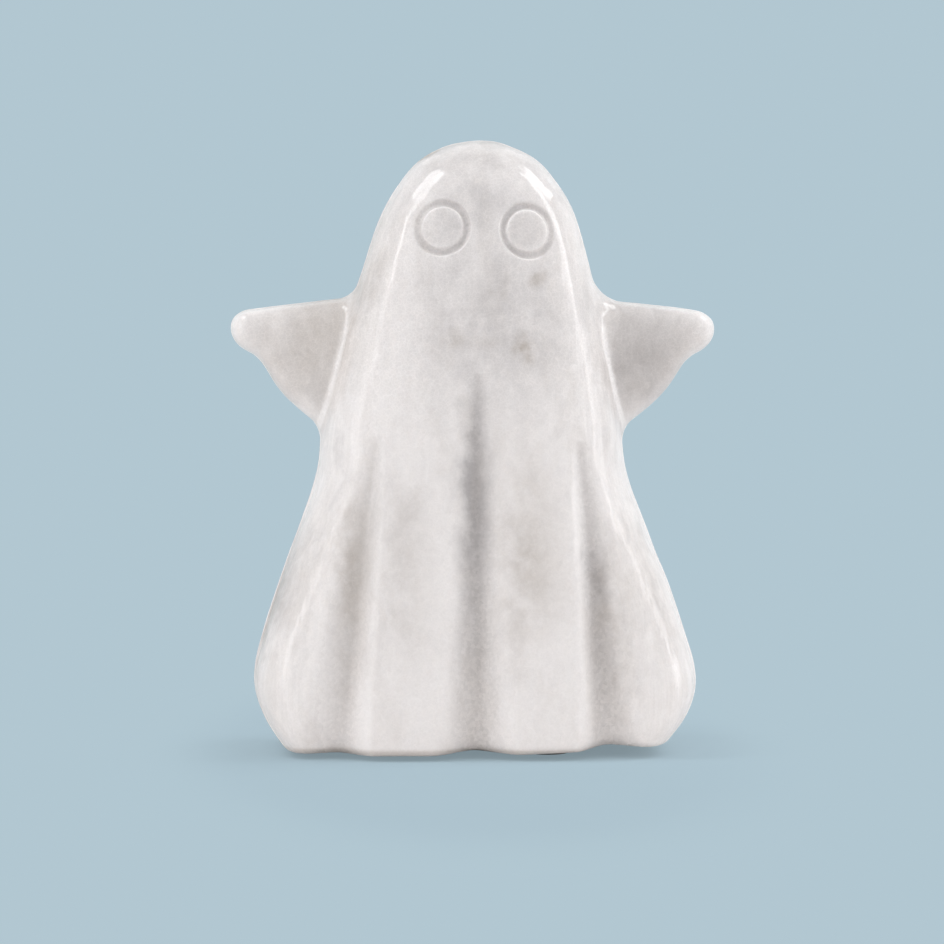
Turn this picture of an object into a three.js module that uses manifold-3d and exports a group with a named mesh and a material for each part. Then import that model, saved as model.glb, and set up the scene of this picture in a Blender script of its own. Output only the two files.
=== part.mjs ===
// Ghost figurine: a draped sheet ghost with stub arms and ring eyes, carved from one block of white
// marble and polished, standing on four self-adhesive felt pads.
// Millimetres, +Z up, front towards -Y. The origin is the centre of the footprint, on the surface that
// it stands on.

import * as THREE from "three";
import { mergeVertices } from "three/addons/utils/BufferGeometryUtils.js";
import Module from "manifold-3d";

const wasm = await Module();
wasm.setup();

// Felt pads, which lift the stone off the surface
const FELT_DIAMETER = 10;
const FELT_THICKNESS = 1;
const ADHESIVE_DIAMETER = 9.6;
const ADHESIVE_THICKNESS = 0.2;
const PAD_SPACING_X = 36;
const PAD_SPACING_Y = 20;
const PAD_SIDES = 40;

// Stone: from here on, heights are above its ground underside
const STONE_HEIGHT = 150;
const DRAPE_WIDTH = 109;
const DRAPE_DEPTH = 62;

// Level sections of the draped body from the underside up to the crown. Heights are shares of the stone's
// height, and widths and depths are shares of the drape's.
const BODY_STATIONS = [
  { height: 0, width: 0.86, depth: 0.974 },
  { height: 0.027, width: 0.915, depth: 0.994 },
  { height: 0.073, width: 0.977, depth: 1 },
  { height: 0.107, width: 1, depth: 0.994 },
  { height: 0.173, width: 0.971, depth: 0.971 },
  { height: 0.24, width: 0.914, depth: 0.939 },
  { height: 0.34, width: 0.815, depth: 0.89 },
  { height: 0.42, width: 0.732, depth: 0.852 },
  { height: 0.467, width: 0.697, depth: 0.829 },
  { height: 0.513, width: 0.684, depth: 0.81 },
  { height: 0.653, width: 0.615, depth: 0.755 },
  { height: 0.807, width: 0.503, depth: 0.69 },
  { height: 0.887, width: 0.426, depth: 0.619 },
  { height: 0.94, width: 0.339, depth: 0.51 },
  { height: 0.98, width: 0.215, depth: 0.329 },
  { height: 1, width: 0, depth: 0 },
];

// Powers of the superellipse that each level section follows: 2 is an ellipse, and a higher one is squarer.
const HEAD_SECTION_POWER = 2.4;
const HEM_SECTION_POWER = 4.6;
const SQUARER_BELOW = 0.5; // share of the height

// How far the sections' middles stand to the right, as shares of the drape's half width: the head leans.
const BODY_LEAN = [
  { height: 0, aside: 0.009 },
  { height: 0.27, aside: 0.002 },
  { height: 0.5, aside: -0.006 },
  { height: 0.67, aside: 0 },
  { height: 0.8, aside: 0.017 },
  { height: 0.91, aside: 0.026 },
];

// Flutes of the drapery, the same on the front and the back. Each starts at its top narrow and shallow
// and grows on its way down. Places, and the widths from the valley out to each side at the hem, are
// shares of the drape's half width, tops of the stone's height, and depths of the drape's half depth.
// The hem's edge rises off the ground in each flute, by its lift.
const FLUTES = [
  { atHem: -0.62, atTop: -0.44, top: 0.52, depth: 0.19, widthLeft: 0.2, widthRight: 0.13, lift: 0.3 },
  { atHem: -0.007, atTop: 0.006, top: 0.62, depth: 0.175, widthLeft: 0.19, widthRight: 0.19, lift: 1.1 },
  { atHem: 0.589, atTop: 0.464, top: 0.507, depth: 0.19, widthLeft: 0.13, widthRight: 0.2, lift: 0.8 },
];
const FLUTE_TOP_WIDTH = 0.22; // share of the width at the hem
const FLUTE_GROWTH = 0.8; // power of the way down

// Hem
const HEM_RADIUS = 2.4;
const HEM_SIDE_SHARE = 0.4; // of the radius, at the sides
const HEM_LIFT_RIGHT = 1.5; // the hem's edge rises this far off the ground towards the right
const HEM_LIFT_START = -0.1; // share of the half width
const HEM_LIFT_FADE = 14; // height where the lift is no longer felt
const UNDERSIDE_MARGIN = 4; // of the underside that rises to the hem's edge
const MARGIN_PER_LIFT = 7; // and it is this much wider for each mm of lift

// Arms, in the front view: distances out from the middle as shares of half the span, and heights of the
// upper and the lower edge as shares of the stone's height. The first distance is well inside the body,
// and the last is the tip's, where the round end has closed.
const ARM_SPAN = 120;
const ARM_UPPER_EDGE = [
  { out: 0.417, height: 0.745 },
  { out: 0.6, height: 0.737 },
  { out: 0.8, height: 0.729 },
  { out: 1, height: 0.719 },
];
const ARM_LOWER_EDGE = [
  { out: 0.417, height: 0.457 },
  { out: 0.633, height: 0.532 },
  { out: 0.762, height: 0.575 },
  { out: 0.827, height: 0.606 },
  { out: 0.873, height: 0.634 },
  { out: 1, height: 0.665 },
];
const ARM_ROOT_THICKNESS = 19.2;
const ARM_TIP_THICKNESS = 13.6;
const ARM_TIP_ROUND = 5;
const ARM_TIP_POWER = 2.3; // of the rounded ends and edges, as in a superellipse: a higher one is squarer
const ARM_UPPER_POWER = 3.4;
const ARM_LOWER_POWER = 2.5;
const LEFT_ARM = { side: -1, tipRise: 0, shoulderFillet: 3.2 };
const RIGHT_ARM = { side: 1, tipRise: -0.5, shoulderFillet: 5.5 };
const ARMPIT_FILLET = 3;
const ARM_FACE_FILLET = 2.4;
const FILLET_SINK = 0.4; // the fillets run on into the body this far, and so meet its surface at an angle
const FLANK_LEFT_BEHIND = 12; // from this far out, the sections no longer slant with the body's flank

// Ring eyes: round grooves, each square to the stone where it is cut
const EYE_GROOVE_DIAMETER = 12.3; // at the middle of the groove
const EYE_GROOVE_WIDTH = 1.8;
const EYE_GROOVE_DEPTH = 1.3; // from the stone's surface at the eye's centre
const EYES_BELOW_CROWN = 21.7;
const EYE_SPACING = 21.1;
const EYES_ASIDE = 2.25; // the middle between them stands this far to the right
const RIGHT_EYE_DROP = 0.8; // the right one sits this much lower than the left
const EYE_CUTTER_CLEAR = 4;

// Facets
const WALL_STEPS = 24;
const CROWN_STEPS = 11;
const HEM_STEPS = 3;
const DOME_START = 0.807; // share of the height: from here up, levels crowd towards the crown
const SIDE_STEPS = 7;
const FRONT_STEPS = [6, 13, 13, 6]; // between the flutes' valleys, from the left side to the right
const VALLEY_CROWDING = 0.6;
const ARM_FILLET_STEPS = 6;
const ARM_STEPS = 9;
const ARM_TIP_STEPS = 7;
const ARM_RING_POINTS = 28;
const EYE_SEGMENTS = 60;

// A smooth curve through stations in rising order of x: cubic pieces that share their slopes.
function curveThrough(stations, x, y) {
  const slopes = stations.map((station, i) => {
    const before = stations[Math.max(i - 1, 0)];
    const after = stations[Math.min(i + 1, stations.length - 1)];
    return (y(after) - y(before)) / (x(after) - x(before));
  });
  const lastPiece = stations.length - 2;
  return (at) => {
    const i = Math.max(0, stations.findLastIndex((station, k) => k <= lastPiece && x(station) <= at));
    const span = x(stations[i + 1]) - x(stations[i]);
    const t = Math.min(Math.max((at - x(stations[i])) / span, 0), 1);
    const rest = 1 - t;
    const middle = y(stations[i]) * (1 + 2 * t) * rest ** 2 + y(stations[i + 1]) * (1 + 2 * rest) * t ** 2;
    return middle + span * t * rest * (slopes[i] * rest - slopes[i + 1] * t);
  };
}

// From 0 to 1 between two values of x, level at both ends.
function easeBetween(x, start, end) {
  const t = Math.min(Math.max((x - start) / (end - start), 0), 1);
  return t * t * (3 - 2 * t);
}

// The squares of the half sizes fall evenly towards the crown, which makes it round.
function halfSize(name, full) {
  const square = curveThrough(BODY_STATIONS, (station) => station.height, (station) => station[name] ** 2);
  return (height) => (full / 2) * Math.sqrt(Math.max(square(height / STONE_HEIGHT), 0));
}
const bodyHalfWidth = halfSize("width", DRAPE_WIDTH);
const bodyHalfDepth = halfSize("depth", DRAPE_DEPTH);
const lean = curveThrough(BODY_LEAN, (station) => station.height, (station) => station.aside);

function bodyMiddle(height) {
  return (DRAPE_WIDTH / 2) * lean(height / STONE_HEIGHT);
}

// How far the hem's rounded lower edge draws the outline in.
function hemInset(height) {
  const short = Math.max(HEM_RADIUS - height, 0);
  return HEM_RADIUS - Math.sqrt(HEM_RADIUS ** 2 - short ** 2);
}

// How far up a flute a height is, from 0 at the hem to 1 at its top.
function upFlute(flute, height) {
  return Math.min(height / (flute.top * STONE_HEIGHT), 1);
}

function fluteMiddle(flute, height) {
  return (DRAPE_WIDTH / 2) * THREE.MathUtils.lerp(flute.atHem, flute.atTop, upFlute(flute, height));
}

// How deep in a flute a place on the front is, as a share of the drape's half depth.
function depthInFlute(flute, x, height) {
  const grown = (1 - upFlute(flute, height)) ** FLUTE_GROWTH;
  const aside = x - fluteMiddle(flute, height);
  const hemWidth = (DRAPE_WIDTH / 2) * (aside < 0 ? flute.widthLeft : flute.widthRight);
  const width = hemWidth * THREE.MathUtils.lerp(FLUTE_TOP_WIDTH, 1, grown);
  const away = Math.min(Math.abs(aside) / width, 1);
  return flute.depth * grown * (1 - away) ** 2 * (1 + away);
}

function fluteShare(x, height) {
  return FLUTES.reduce((share, flute) => share + depthInFlute(flute, x, height), 0);
}

// How far the hem's edge stands off the ground.
function hemLift(x, height) {
  const towardsRight = easeBetween(x / bodyHalfWidth(0), HEM_LIFT_START, 1);
  const inFlute = (flute) => flute.lift * (depthInFlute(flute, x, 0) / flute.depth);
  const inFlutes = FLUTES.reduce((sum, flute) => sum + inFlute(flute), 0);
  const fade = 1 - easeBetween(height, 0, HEM_LIFT_FADE);
  return (HEM_LIFT_RIGHT * towardsRight + inFlutes) * fade;
}

// The other half size of a superellipse's section, as a share, at a share of the one.
function superellipse(share, power) {
  return (1 - Math.min(Math.abs(share), 1) ** power) ** (1 / power);
}

function sectionPower(height) {
  const up = easeBetween(height / STONE_HEIGHT, 0, SQUARER_BELOW);
  return THREE.MathUtils.lerp(HEM_SECTION_POWER, HEAD_SECTION_POWER, up);
}

function frontDepth(x, height) {
  const share = (x - bodyMiddle(height)) / bodyHalfWidth(height);
  const unfluted = bodyHalfDepth(height) * superellipse(share, sectionPower(height));
  return unfluted - (DRAPE_DEPTH / 2) * fluteShare(x, height);
}

// Where the front ends and the round sides begin, as a share of the half width.
const FRONT_SHARE = 0.86;

// Shares of the half width along the front of a level section, from left to right. Points crowd towards
// the flutes' valleys, and one of them follows each valley down.
function frontShares(height) {
  const valleys = FLUTES.map(
    (flute) => fluteMiddle(flute, height) / bodyHalfWidth(Math.min(height, flute.top * STONE_HEIGHT))
  );
  const knots = [-FRONT_SHARE, ...valleys, FRONT_SHARE];
  const shares = [];
  FRONT_STEPS.forEach((steps, piece) => {
    for (let i = 0; i < steps; i++) {
      const even = i / steps;
      const crowded = even - (VALLEY_CROWDING * Math.sin(2 * Math.PI * even)) / (2 * Math.PI);
      shares.push(knots[piece] + (knots[piece + 1] - knots[piece]) * crowded);
    }
  });
  return [...shares, FRONT_SHARE];
}

// A level section of the body as points [x, y] in order round it, seen from above. It is drawn in by an
// inset all round, and by a further one on the front and the back, which is a function of x.
function bodySection(height, inset, furtherInset = () => 0) {
  const halfWidth = bodyHalfWidth(height);
  const drawnIn = halfWidth - inset * HEM_SIDE_SHARE;
  const middle = bodyMiddle(height);
  const front = frontShares(height).map((share) => [
    middle + drawnIn * share,
    frontDepth(middle + halfWidth * share, height) - inset - furtherInset(middle + halfWidth * share),
  ]);
  const power = sectionPower(height);
  const frontEndDepth = superellipse(FRONT_SHARE, power);
  const roundSide = (side) => {
    const frontEndInset = inset + furtherInset(middle + side * halfWidth * FRONT_SHARE);
    const halfDepth = bodyHalfDepth(height) - frontEndInset / frontEndDepth;
    const points = [];
    for (let i = 1; i < 2 * SIDE_STEPS; i++) {
      const depthShare = frontEndDepth * (1 - i / SIDE_STEPS);
      const out = drawnIn * superellipse(depthShare, power);
      points.push([middle + side * out, -side * depthShare * halfDepth]);
    }
    return points;
  };
  return [...front.map(([x, y]) => [x, -y]), ...roundSide(1), ...front.toReversed(), ...roundSide(-1)];
}

function bodyLevels() {
  const levels = [];
  for (let i = 0; i < HEM_STEPS; i++) {
    levels.push(HEM_RADIUS * (1 - Math.cos((Math.PI / 2) * (i / HEM_STEPS))));
  }
  const domeStart = DOME_START * STONE_HEIGHT;
  for (let i = 0; i < WALL_STEPS; i++) {
    levels.push(THREE.MathUtils.lerp(HEM_RADIUS, domeStart, i / WALL_STEPS));
  }
  for (let i = 0; i < CROWN_STEPS; i++) {
    levels.push(STONE_HEIGHT - (STONE_HEIGHT - domeStart) * (1 - i / CROWN_STEPS) ** 2);
  }
  return levels;
}

// Triangles that close a ring of points, told by their places in it. The ring is flattened for this by a
// function from a point [x, y, z] to the two coordinates that matter.
function capOver(ring, flatten) {
  const outline = ring.map((point) => new THREE.Vector2(...flatten(point)));
  const faces = THREE.ShapeUtils.triangulateShape(outline, []);
  return THREE.ShapeUtils.isClockWise(outline) ? faces : faces.map((face) => face.toReversed());
}

// A closed skin over rings of points, all of one length: capped at the first ring, and ending in a point.
function skin(rings, flatten, endPoint) {
  const count = rings[0].length;
  const positions = [...rings.flat(2), ...endPoint];
  const last = positions.length / 3 - 1;
  const index = capOver(rings[0], flatten).flat();
  for (let i = 0; i < count; i++) {
    const next = (i + 1) % count;
    index.push(last, last - count + i, last - count + next);
    for (let ring = 0; ring < rings.length - 1; ring++) {
      const a = ring * count + i;
      const b = ring * count + next;
      index.push(a, b, b + count, a, b + count, a + count);
    }
  }
  const geometry = new THREE.BufferGeometry();
  geometry.setAttribute("position", new THREE.Float32BufferAttribute(positions, 3));
  geometry.setIndex(index);
  return geometry;
}

// How much wider the underside's rising margin is behind a place on the hem that is off the ground.
function marginForLift(x) {
  return MARGIN_PER_LIFT * hemLift(x, 0);
}

function bodyGeometry() {
  const underside = bodySection(0, UNDERSIDE_MARGIN, marginForLift).map(([x, y]) => [x, y, 0]);
  const walls = bodyLevels().map((height) =>
    bodySection(height, hemInset(height)).map(([x, y]) => [x, y, height + hemLift(x, height)])
  );
  return skin([underside, ...walls], ([x, y]) => [x, y], [bodyMiddle(STONE_HEIGHT), 0, STONE_HEIGHT]);
}

// How far out the body's side lies from the middle at a depth and a height.
function flank(y, height) {
  return bodyHalfWidth(height) * superellipse(y / bodyHalfDepth(height), sectionPower(height));
}

// How far a fillet of this radius stands off the arm at a distance out from the body.
function fillet(distance, radius) {
  const short = Math.min(Math.max(radius - FILLET_SINK - distance, 0), radius);
  return radius - Math.sqrt(radius ** 2 - short ** 2);
}

function armEdge(stations) {
  const edge = curveThrough(stations, (station) => station.out, (station) => station.height);
  return (out) => STONE_HEIGHT * edge(out / ARM_TIP);
}
const ARM_TIP = ARM_SPAN / 2;
const ARM_ROOT = ARM_UPPER_EDGE[0].out * ARM_TIP;
const armUpperEdge = armEdge(ARM_UPPER_EDGE);
const armLowerEdge = armEdge(ARM_LOWER_EDGE);
const armMiddle = (out) => (armUpperEdge(out) + armLowerEdge(out)) / 2;
const rootFlank = flank(0, armMiddle(ARM_ROOT));

// A power of a number that keeps its sign.
function signedPower(value, power) {
  return Math.sign(value) * Math.abs(value) ** power;
}

// An arm's outer point [out, y, z] at an angle round it. Near the body the sections slant with its flank.
function armPoint(distance, angle, { tipRise, shoulderFillet }) {
  const power = Math.sin(angle) > 0 ? ARM_UPPER_POWER : ARM_LOWER_POWER;
  const across = signedPower(Math.cos(angle), 2 / power);
  const up = signedPower(Math.sin(angle), 2 / power);
  const slant = 1 - easeBetween(distance, 0, FLANK_LEFT_BEHIND);
  let out = rootFlank + distance;
  let y = 0;
  let z = 0;
  for (let pass = 0; pass < 5; pass++) {
    const closing = superellipse(Math.max(0, 1 - (ARM_TIP - out) / ARM_TIP_ROUND), ARM_TIP_POWER);
    const along = (out - ARM_ROOT) / (ARM_TIP - ARM_ROOT);
    y = (across * closing * THREE.MathUtils.lerp(ARM_ROOT_THICKNESS, ARM_TIP_THICKNESS, along)) / 2;
    z = armMiddle(out) + (up * closing * (armUpperEdge(out) - armLowerEdge(out))) / 2 + tipRise * along;
    out = rootFlank + distance + slant * (flank(y, z) - rootFlank);
  }
  y += signedPower(across, 4) * fillet(distance, ARM_FACE_FILLET);
  z += signedPower(up, 4) * fillet(distance, up > 0 ? shoulderFillet : ARMPIT_FILLET);
  return [rootFlank + distance + slant * (flank(y, z) - rootFlank), y, z];
}

// Distances out from the body of an arm's sections.
function armDistances({ shoulderFillet }) {
  const length = ARM_TIP - rootFlank;
  const roundStart = length - ARM_TIP_ROUND;
  const distances = [ARM_ROOT - rootFlank];
  for (let i = 0; i < ARM_FILLET_STEPS; i++) {
    distances.push(shoulderFillet * (i / ARM_FILLET_STEPS) ** 1.5 - FILLET_SINK);
  }
  const filletEnd = shoulderFillet - FILLET_SINK;
  for (let i = 0; i < ARM_STEPS; i++) {
    distances.push(filletEnd + ((roundStart - filletEnd) * i) / ARM_STEPS);
  }
  for (let i = 0; i < ARM_TIP_STEPS; i++) {
    distances.push(roundStart + ARM_TIP_ROUND * Math.sin((Math.PI / 2) * (i / ARM_TIP_STEPS)));
  }
  return distances;
}

function armGeometry(arm) {
  const { side, tipRise } = arm;
  const step = (side * 2 * Math.PI) / ARM_RING_POINTS;
  const angles = Array.from({ length: ARM_RING_POINTS }, (_, i) => step * i);
  const rings = armDistances(arm).map((distance) =>
    angles.map((angle) => {
      const [out, y, z] = armPoint(distance, angle, arm);
      return [side * out, y, z];
    })
  );
  const tip = [side * ARM_TIP, 0, armMiddle(ARM_TIP) + tipRise];
  return skin(rings, ([x, y, z]) => [y, z], tip);
}

// The way out of the stone at a place on the front, as a unit vector.
function frontNormal(x, height) {
  const step = 0.01;
  const alongX = (frontDepth(x + step, height) - frontDepth(x - step, height)) / (2 * step);
  const alongZ = (frontDepth(x, height + step) - frontDepth(x, height - step)) / (2 * step);
  return new THREE.Vector3(-alongX, -1, -alongZ).normalize();
}

// A ring that stands out of the stone and reaches the groove's depth into it, on one side of the face.
function eyeCutter(side) {
  const inner = (EYE_GROOVE_DIAMETER - EYE_GROOVE_WIDTH) / 2;
  const outer = inner + EYE_GROOVE_WIDTH;
  const profile = [
    new THREE.Vector2(inner, -EYE_GROOVE_DEPTH),
    new THREE.Vector2(outer, -EYE_GROOVE_DEPTH),
    new THREE.Vector2(outer, EYE_CUTTER_CLEAR),
    new THREE.Vector2(inner, EYE_CUTTER_CLEAR),
    new THREE.Vector2(inner, -EYE_GROOVE_DEPTH),
  ];
  const x = EYES_ASIDE + (side * EYE_SPACING) / 2;
  const height = STONE_HEIGHT - EYES_BELOW_CROWN - (side * RIGHT_EYE_DROP) / 2;
  const normal = frontNormal(x, height);
  const turn = new THREE.Quaternion().setFromUnitVectors(new THREE.Vector3(0, 1, 0), normal);
  return new THREE.LatheGeometry(profile, EYE_SEGMENTS)
    .applyQuaternion(turn)
    .translate(x, -frontDepth(x, height), height);
}

function solidOf(geometry) {
  geometry.deleteAttribute("normal");
  geometry.deleteAttribute("uv");
  const merged = mergeVertices(geometry, 1e-4);
  const mesh = new wasm.Mesh({
    numProp: 3,
    vertProperties: merged.attributes.position.array,
    triVerts: new Uint32Array(merged.index.array),
  });
  return new wasm.Manifold(mesh);
}

function geometryOf(solid) {
  const mesh = solid.getMesh();
  const geometry = new THREE.BufferGeometry();
  geometry.setAttribute("position", new THREE.BufferAttribute(mesh.vertProperties, 3));
  geometry.setIndex(new THREE.BufferAttribute(mesh.triVerts, 1));
  return geometry;
}

function marbleGhost() {
  const leftArm = solidOf(armGeometry(LEFT_ARM));
  const rightArm = solidOf(armGeometry(RIGHT_ARM));
  const leftEye = solidOf(eyeCutter(-1));
  const rightEye = solidOf(eyeCutter(1));
  const draped = solidOf(bodyGeometry()).add(leftArm).add(rightArm);
  const stone = geometryOf(draped.subtract(leftEye).subtract(rightEye));
  return stone.translate(0, 0, FELT_THICKNESS + ADHESIVE_THICKNESS);
}

function disc(diameter, thickness, x, y, underside) {
  return new THREE.CylinderGeometry(diameter / 2, diameter / 2, thickness, PAD_SIDES)
    .rotateX(Math.PI / 2)
    .translate(x, y, underside + thickness / 2);
}

const MARBLE = { color: "#dfe0e0", roughness: 0.16, metalness: 0 };
const FELT = { color: "#5b5854", roughness: 1, metalness: 0 };
const ADHESIVE = { color: "#e6e2d2", roughness: 0.5, metalness: 0 };

const figurine = new THREE.Group();

function addPiece(name, geometry, surface) {
  const piece = new THREE.Mesh(geometry, new THREE.MeshStandardMaterial(surface));
  piece.name = name;
  figurine.add(piece);
}

addPiece("marble_ghost", marbleGhost(), MARBLE);
for (const [depthName, depthSide] of [["front", -1], ["rear", 1]]) {
  for (const [sideName, side] of [["left", -1], ["right", 1]]) {
    const x = (side * PAD_SPACING_X) / 2;
    const y = (depthSide * PAD_SPACING_Y) / 2;
    addPiece(`felt_pad_${depthName}_${sideName}`, disc(FELT_DIAMETER, FELT_THICKNESS, x, y, 0), FELT);
    const film = disc(ADHESIVE_DIAMETER, ADHESIVE_THICKNESS, x, y, FELT_THICKNESS);
    addPiece(`pad_adhesive_${depthName}_${sideName}`, film, ADHESIVE);
  }
}

export default figurine;
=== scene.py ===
"""Visual model of a polished marble ghost carving on felt pads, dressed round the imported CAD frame."""

import math

import bmesh
import bpy
import numpy as np
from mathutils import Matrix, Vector


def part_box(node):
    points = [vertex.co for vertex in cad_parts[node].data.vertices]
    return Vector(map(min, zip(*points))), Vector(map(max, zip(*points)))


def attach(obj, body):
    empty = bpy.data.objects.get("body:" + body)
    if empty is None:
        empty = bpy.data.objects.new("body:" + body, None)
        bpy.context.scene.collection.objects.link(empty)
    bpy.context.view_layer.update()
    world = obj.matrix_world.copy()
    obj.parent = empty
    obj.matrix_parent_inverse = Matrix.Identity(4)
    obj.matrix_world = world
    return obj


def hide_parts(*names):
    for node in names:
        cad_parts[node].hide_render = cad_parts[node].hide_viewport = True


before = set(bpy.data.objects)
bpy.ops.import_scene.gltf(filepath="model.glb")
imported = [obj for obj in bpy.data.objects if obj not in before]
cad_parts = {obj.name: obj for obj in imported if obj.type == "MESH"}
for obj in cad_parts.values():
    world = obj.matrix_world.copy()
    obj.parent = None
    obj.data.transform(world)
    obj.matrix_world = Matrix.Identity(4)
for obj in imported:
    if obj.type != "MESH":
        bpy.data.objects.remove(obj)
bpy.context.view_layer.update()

MM = 0.001

# Keeps a division by a length from failing where that is nothing.
TINY = 1e-9

# Main sizes of the stone, in millimetres, as in the CAD part. Its heights are above its own underside, which
# the pads hold off the ground.
UNDERSIDE = 1.2
STONE_HEIGHT = 150.0
HALF_WIDTH = 54.5
HALF_DEPTH = 31.0

# The draped body's level sections: share of the height, width share, depth share.
BODY_STATIONS = [
    (0, 0.86, 0.974),
    (0.027, 0.915, 0.994),
    (0.073, 0.977, 1),
    (0.107, 1, 0.994),
    (0.173, 0.971, 0.971),
    (0.24, 0.914, 0.939),
    (0.34, 0.815, 0.89),
    (0.42, 0.732, 0.852),
    (0.467, 0.697, 0.829),
    (0.513, 0.684, 0.81),
    (0.653, 0.615, 0.755),
    (0.807, 0.503, 0.69),
    (0.887, 0.426, 0.619),
    (0.94, 0.339, 0.51),
    (0.98, 0.215, 0.329),
    (1, 0, 0),
]

# The highest section that widths are taken from, as the crown's last one shrinks to nothing.
HIGHEST_SHARE = 0.99

# How far the sections' middles stand to the right: share of the height, share of the half width.
BODY_LEAN = [(0, 0.009), (0.27, 0.002), (0.5, -0.006), (0.67, 0), (0.8, 0.017), (0.91, 0.026), (1, 0.026)]

# The sections' powers, as in a superellipse, where a higher one is squarer. They change from the hem's to the
# head's below one share of the height, and to the crown's above another.
HEAD_POWER = 2.4
HEM_POWER = 4.6
CROWN_POWER = 2.2
SQUARER_BELOW = 0.5
CROWN_ABOVE = 0.9

# The drapery's flutes, in shares of the half width, the height and the half depth. Lift is how far one raises
# the hem, in millimetres, and shade is how grey its valley is, partly grey veining and partly painted shade.
FLUTES = [
    dict(hem=-0.62, peak=-0.44, top=0.52, depth=0.19, left=0.2, right=0.13, lift=0.3, shade=0.45),
    dict(hem=-0.007, peak=0.006, top=0.62, depth=0.175, left=0.19, right=0.19, lift=1.1, shade=0.8),
    dict(hem=0.589, peak=0.464, top=0.507, depth=0.19, left=0.13, right=0.2, lift=0.8, shade=0.8),
]
FLUTE_TOP_WIDTH = 0.22
FLUTE_GROWTH = 0.8
VALLEY_ROUND = 1.3
VALLEY_ROUND_AT_TOP = 0.35

# Powers with which a flute's shade grows along it and towards its valley.
SHADE_ALONG = 0.3
SHADE_ACROSS = 1.5

# The hem's edge, which is sharper at the sides, and the underside that rises to it.
HEM_RADIUS = 2.4
HEM_SIDE_RADIUS = 1.0
HEM_SIDE = (0.75, 0.98)
HEM_LIFT_RIGHT = 1.5
HEM_LIFT_START = -0.1
HEM_LIFT_FADE = 14.0
MARGIN = 4.0
MARGIN_PER_LIFT = 7.0

# The arms. Their edges are given as share of the half span and share of the height.
ARM_TIP = 60.0
ARM_ROOT = 25.0
ARM_INNER_END = 0.5 * ARM_ROOT
ARM_UPPER_EDGE = [(0.417, 0.745), (0.6, 0.737), (0.8, 0.729), (1, 0.719)]
ARM_LOWER_EDGE = [(0.417, 0.457), (0.633, 0.532), (0.762, 0.575), (0.827, 0.606), (0.873, 0.634), (1, 0.665)]
ARM_ROOT_HALF_THICKNESS = 8.5
ARM_TIP_HALF_THICKNESS = 6.8
ARM_TIP_ROUND = 5.0
ARM_TIP_POWER = 2.3
ARM_UPPER_POWER = 3.0
ARM_LOWER_POWER = 2.2
ARMS = [dict(side=-1, rise=0.0, shoulder=3.2), dict(side=1, rise=-0.5, shoulder=5.5)]
ARMPIT_FILLET = 3.0
ARM_FACE_FILLET = 1.9
FILLET_CHANGE = (0.4, 0.9)

# A painted highlight: the lighter line in the corner between the body and an arm.
ARM_CORNER_HIGHLIGHT = 0.9
ARM_CORNER_WIDTH = 1.3
ARM_CORNER_REACH = (1.6, 2.6)

# Ring eyes.
EYE_GROOVE_RADIUS = 6.15
EYE_GROOVE_WIDTH = 1.8
EYE_GROOVE_DEPTH = 1.35
EYE_GROOVE_ROUND = 0.85
EYE_RIM_ROUND = 0.55
EYE_HEIGHT = STONE_HEIGHT - 21.7
EYE_SPACING = 21.1
EYES_ASIDE = 2.25
RIGHT_EYE_DROP = 0.8

# Painted shade in the eyes' grooves, darker still on either side of each ring's lowest point.
EYE_GROOVE_SHADE = 0.36
EYE_SHADE_BLUR = 0.3
EYE_SHADE_BELOW = 0.4
EYE_LOW_DARKENING = 0.16
EYE_LOW_DARKENING_AT = -0.72
EYE_LOW_DARKENING_WIDTH = 0.25

# How grey the discs in the rings are, and the painted highlights on the grooves' edges that face up.
EYE_DISC_SHADE = 0.12
EYE_DISC_EDGE = (-2.4, -1.2)
EYE_EDGE_HIGHLIGHT = 0.5
EYE_EDGE_AT = 0.1
EYE_EDGE_WIDTH = 0.5
EYE_EDGE_DEPTH = (0.3, 0.9)
EYE_EDGE_FACING = 0.3

# Where the arms and the eyes can be, so that they are worked out only there.
ARMS_FROM = 20.0
ARMS_HEIGHT = 90.0
ARMS_HALF_HEIGHT = 35.0
EYES_FRONT = -8.0
EYES_HALF_HEIGHT = 15.0

# The polish changes towards the sides and on the arms. Shares of the body's half width, and heights.
SIDES_BEGIN = (0.6, 0.9)
ARMS_BEGIN = (0.93, 1.03)
ARMS_BAND = (62, 114)

# How the stone is sampled: the fine grid's step, how many such steps a coarse one has, how near the surface
# the fine grid is used, the box that is sampled and how far below the underside it starts.
GRID_STEP = 0.7
BLOCK = 4
NEAR = 5.0
SAMPLED_BOX = (126, 67, 156)
SAMPLED_FROM = -2.1
PROBE = 0.02

# How the mesh is laid on the surface, and the zones of the face, from one distance round an eye's middle to
# another, where it is made finer.
LONGEST_MOVE = 0.5
STEPS_TO_FRONT = 12
SMOOTHINGS = 3
EYE_ZONES = [(4.3, 8.1), (4.9, 7.5)]
EYE_ZONE_DEPTH = 5
FACE_FRONT = -10
FACE_BOTTOM = 110


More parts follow.
